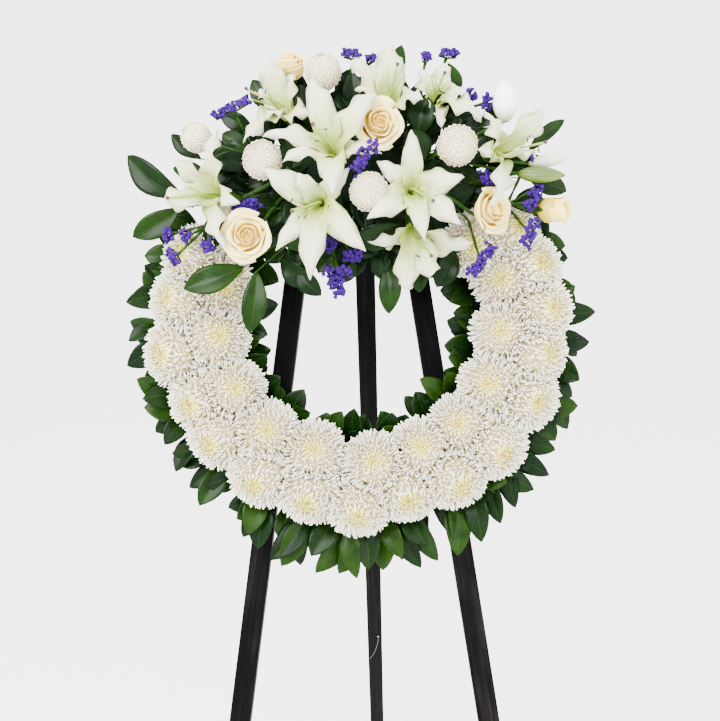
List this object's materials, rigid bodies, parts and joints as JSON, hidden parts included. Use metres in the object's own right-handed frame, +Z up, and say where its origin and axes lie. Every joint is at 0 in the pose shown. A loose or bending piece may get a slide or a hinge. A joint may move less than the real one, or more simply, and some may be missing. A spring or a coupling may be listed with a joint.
{
  "type": "funeral wreath on easel",
  "caption": "Ring of white chrysanthemums with a lily, rose and statice spray across its top, leaning on a folding black timber easel.",
  "frame": {"origin": "on the floor, under the middle of the whole piece", "axes": "+Z up, the wreath faces -Y, +X to its right as seen from the front"},
  "size_m": [0.7302, 0.8628, 1.6606],
  "materials": {
    "black_stained_timber": "satin black stain with faint grain",
    "steel_hardware": "zinc plated",
    "backing_board": "board painted dark green",
    "wet_floral_foam": "matte, soaked",
    "white_mum_petals": "matte petals",
    "cream_pompon_petals": "matte petals",
    "cream_rose_petals": "velvety petals",
    "white_lily_petals": "waxy petals, lime throats",
    "violet_statice": "papery calyces on green stems",
    "green_leaves": "glossy leaf"
  },
  "bodies": {
    "easel_and_wreath": {"front_leg_left": "black_stained_timber", "front_leg_right": "black_stained_timber", "head_rail": "black_stained_timber", "lower_rail": "black_stained_timber", "hinge_plate": "steel_hardware", "hinge_pin": "steel_hardware", "hanging_hook": "steel_hardware", "backing_ring": "backing_board", "foam_ring": "wet_floral_foam", "spray_foam": "wet_floral_foam", "mum_outer_01": "white_mum_petals", "mum_outer_02": "white_mum_petals", "mum_outer_03": "white_mum_petals", "mum_outer_04": "white_mum_petals", "mum_outer_05": "white_mum_petals", "mum_outer_06": "white_mum_petals", "mum_outer_07": "white_mum_petals", "mum_outer_08": "white_mum_petals", "mum_outer_09": "white_mum_petals", "mum_outer_10": "white_mum_petals", "mum_outer_11": "white_mum_petals", "mum_outer_12": "white_mum_petals", "mum_outer_13": "white_mum_petals", "mum_outer_14": "white_mum_petals", "mum_outer_15": "white_mum_petals", "mum_outer_16": "white_mum_petals", "mum_inner_01": "white_mum_petals", "mum_inner_02": "white_mum_petals", "mum_inner_03": "white_mum_petals", "mum_inner_04": "white_mum_petals", "mum_inner_05": "white_mum_petals", "mum_inner_06": "white_mum_petals", "mum_inner_07": "white_mum_petals", "mum_inner_08": "white_mum_petals", "mum_inner_09": "white_mum_petals", "mum_inner_10": "white_mum_petals", "mum_inner_11": "white_mum_petals", "pompon_top": "cream_pompon_petals", "pompon_far_left": "cream_pompon_petals", "pompon_left": "cream_pompon_petals", "pompon_right": "cream_pompon_petals", "pompon_centre": "cream_pompon_petals", "rose_top": "cream_rose_petals", "rose_upper": "cream_rose_petals", "rose_left": "cream_rose_petals", "rose_right": "cream_rose_petals", "rose_bud": "cream_rose_petals", "lily_stem_centre": "white_lily_petals", "lily_stem_left": "white_lily_petals", "lily_stem_lower": "white_lily_petals", "lily_stem_top": "white_lily_petals", "lily_stem_right": "white_lily_petals", "statice_left": "violet_statice", "statice_top": "violet_statice", "statice_right": "violet_statice", "spray_leaves": "green_leaves", "outer_leaf_collar": "green_leaves", "inner_leaf_collar": "green_leaves"},
    "folding_leg": {"rear_leg": "black_stained_timber", "hinge_strap": "steel_hardware"}
  },
  "joints": [
    {"name": "rear_leg_fold", "type": "hinge", "parent": "easel_and_wreath", "child": "folding_leg", "pos_m": [0.00137, -0.14082, 1.40285], "axis": [-1, 0, 0], "range_deg": [0, 31]}
  ]
}
